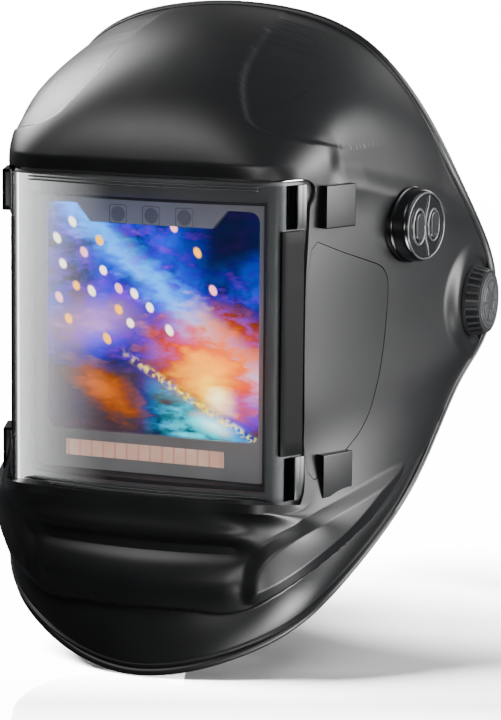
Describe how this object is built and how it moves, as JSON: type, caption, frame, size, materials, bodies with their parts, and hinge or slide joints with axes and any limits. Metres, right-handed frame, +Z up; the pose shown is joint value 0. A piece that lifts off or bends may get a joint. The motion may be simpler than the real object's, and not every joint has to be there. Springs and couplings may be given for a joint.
{
  "type": "welding helmet",
  "caption": "Auto-darkening welding helmet: moulded shell on tilting headgear, panoramic clear cover lens, tinted side windows, side control pod, tension knobs.",
  "frame": {"origin": "middle of the axis on which the shell flips up, between the two tension knobs", "axes": "+Z up, the face looks along -Y, +X to the wearer's left"},
  "size_m": [0.2404, 0.2712, 0.305],
  "materials": {
    "shell_black": "satin moulded nylon, fine grain",
    "gloss_black": "smoked gloss",
    "button_black": "gloss, lit rim",
    "knob_black": "satin, ribbed",
    "knob_cap": "fine grain",
    "inner_black": "moulded",
    "headgear_black": "soft moulded",
    "rubber_black": "matt",
    "sweat_fabric": "brushed cotton",
    "bezel_grey": "grey film",
    "sensor_dark": "dark lens",
    "solar_copper": "copper-brown cell",
    "circuit_board": "solder mask",
    "steel": "zinc plated",
    "brass": "turned",
    "clear_lens": "clear polycarbonate",
    "tinted_window": "shade 5 tint",
    "filter_glass": "dark filter"
  },
  "bodies": {
    "headgear": {"front_band": "headgear_black", "sweatband": "sweat_fabric", "side_rail_left": "headgear_black", "side_rail_right": "headgear_black", "rail_rivets": "headgear_black", "crown_strap_left": "headgear_black", "crown_strap_right": "headgear_black", "crown_pegs": "headgear_black", "front_crown_strap": "headgear_black"},
    "rear_cradle": {"rear_strap": "headgear_black", "ratchet_housing": "headgear_black", "ratchet_cover": "headgear_black", "ratchet_racks": "headgear_black", "rear_pad": "sweat_fabric"},
    "ratchet_knob": {"ratchet_knob": "knob_black", "ratchet_pinion": "inner_black"},
    "carrier_left": {"carrier_left": "inner_black", "carrier_keeper_left": "inner_black", "pivot_stud_left": "steel", "tilt_plate_left": "inner_black", "friction_washer_left": "rubber_black"},
    "carrier_right": {"carrier_right": "inner_black", "carrier_keeper_right": "inner_black", "pivot_stud_right": "steel", "tilt_plate_right": "inner_black", "friction_washer_right": "rubber_black"},
    "tension_knob_left": {"tension_knob_left": "knob_black", "knob_insert_left": "brass", "knob_cap_left": "knob_cap"},
    "tension_knob_right": {"tension_knob_right": "knob_black", "knob_insert_right": "brass", "knob_cap_right": "knob_cap"},
    "shell": {"shell": "shell_black", "side_window_left": "tinted_window", "side_window_right": "tinted_window", "window_frame_left": "inner_black", "window_frame_right": "inner_black", "pod_housing": "gloss_black", "pod_faceplate": "gloss_black", "pod_board": "circuit_board", "pod_gland": "rubber_black", "adf_holder": "inner_black", "holder_screws": "steel", "adf_bezel": "bezel_grey", "adf_rear_cover": "inner_black", "filter_glass": "filter_glass", "solar_cell": "solar_copper", "arc_sensors": "sensor_dark", "adf_board": "circuit_board", "adf_gland": "rubber_black", "inner_lens": "clear_lens"},
    "cover_lens": {"cover_lens": "clear_lens"},
    "mode_button": {"mode_button": "button_black"},
    "grind_button": {"grind_button": "button_black"},
    "battery_drawer": {"battery_drawer": "inner_black", "coin_cell": "steel"},
    "adf_latch": {"adf_latch": "inner_black"},
    "menu_button_1": {"menu_button_1": "rubber_black"},
    "menu_button_2": {"menu_button_2": "rubber_black"},
    "menu_button_3": {"menu_button_3": "rubber_black"}
  },
  "joints": [
    {"name": "carrier_slide_left", "type": "slide", "parent": "headgear", "child": "carrier_left", "axis": [0, -0.9397, 0.342], "range_m": [-0.008, 0.008]},
    {"name": "carrier_slide_right", "type": "slide", "parent": "headgear", "child": "carrier_right", "axis": [0, -0.9397, 0.342], "range_m": [-0.008, 0.008]},
    {"name": "shell_flip", "type": "hinge", "parent": "carrier_left", "child": "shell", "pos_m": [0, 0, 0], "axis": [-1, 0, 0], "range_deg": [0, 80]},
    {"name": "tension_knob_left_turn", "type": "hinge", "parent": "carrier_left", "child": "tension_knob_left", "pos_m": [0.1155, 0, 0], "axis": [1, 0, 0], "range_deg": [0, 540]},
    {"name": "tension_knob_right_turn", "type": "hinge", "parent": "carrier_right", "child": "tension_knob_right", "pos_m": [-0.1155, 0, 0], "axis": [-1, 0, 0], "range_deg": [0, 540]},
    {"name": "ratchet_turn", "type": "hinge", "parent": "rear_cradle", "child": "ratchet_knob", "pos_m": [0, 0.10025, -0.04181], "axis": [0, 0.9397, -0.342], "range_deg": [0, 143.24]},
    {"name": "rear_cradle_slide", "type": "slide", "parent": "headgear", "child": "rear_cradle", "axis": [0, -0.9397, 0.342], "range_m": [0, 0.015]},
    {"name": "cover_lens_removal", "type": "slide", "parent": "shell", "child": "cover_lens", "axis": [0, -1, 0], "range_m": [0, 0.03]},
    {"name": "mode_button_press", "type": "slide", "parent": "shell", "child": "mode_button", "axis": [-0.9744, 0.225, 0], "range_m": [0, 0.0012], "stiffness_N_per_m": 250},
    {"name": "grind_button_press", "type": "slide", "parent": "shell", "child": "grind_button", "axis": [-0.9744, 0.225, 0], "range_m": [0, 0.0012], "stiffness_N_per_m": 250},
    {"name": "battery_drawer_slide", "type": "slide", "parent": "shell", "child": "battery_drawer", "axis": [0, 0, -1], "range_m": [0, 0.014]},
    {"name": "adf_latch_swing", "type": "hinge", "parent": "shell", "child": "adf_latch", "pos_m": [0, -0.1194, 0.0633], "axis": [1, 0, 0], "range_deg": [0, 60]},
    {"name": "menu_button_1_press", "type": "slide", "parent": "shell", "child": "menu_button_1", "axis": [0, -1, 0], "range_m": [0, 0.0008], "stiffness_N_per_m": 250},
    {"name": "menu_button_2_press", "type": "slide", "parent": "shell", "child": "menu_button_2", "axis": [0, -1, 0], "range_m": [0, 0.0008], "stiffness_N_per_m": 250},
    {"name": "menu_button_3_press", "type": "slide", "parent": "shell", "child": "menu_button_3", "axis": [0, -1, 0], "range_m": [0, 0.0008], "stiffness_N_per_m": 250}
  ],
  "couplings": [
    {"joint": "carrier_slide_right", "follows": "carrier_slide_left", "ratio": 1},
    {"joint": "ratchet_turn", "follows": "rear_cradle_slide", "rad_per_m": 166.67}
  ]
}
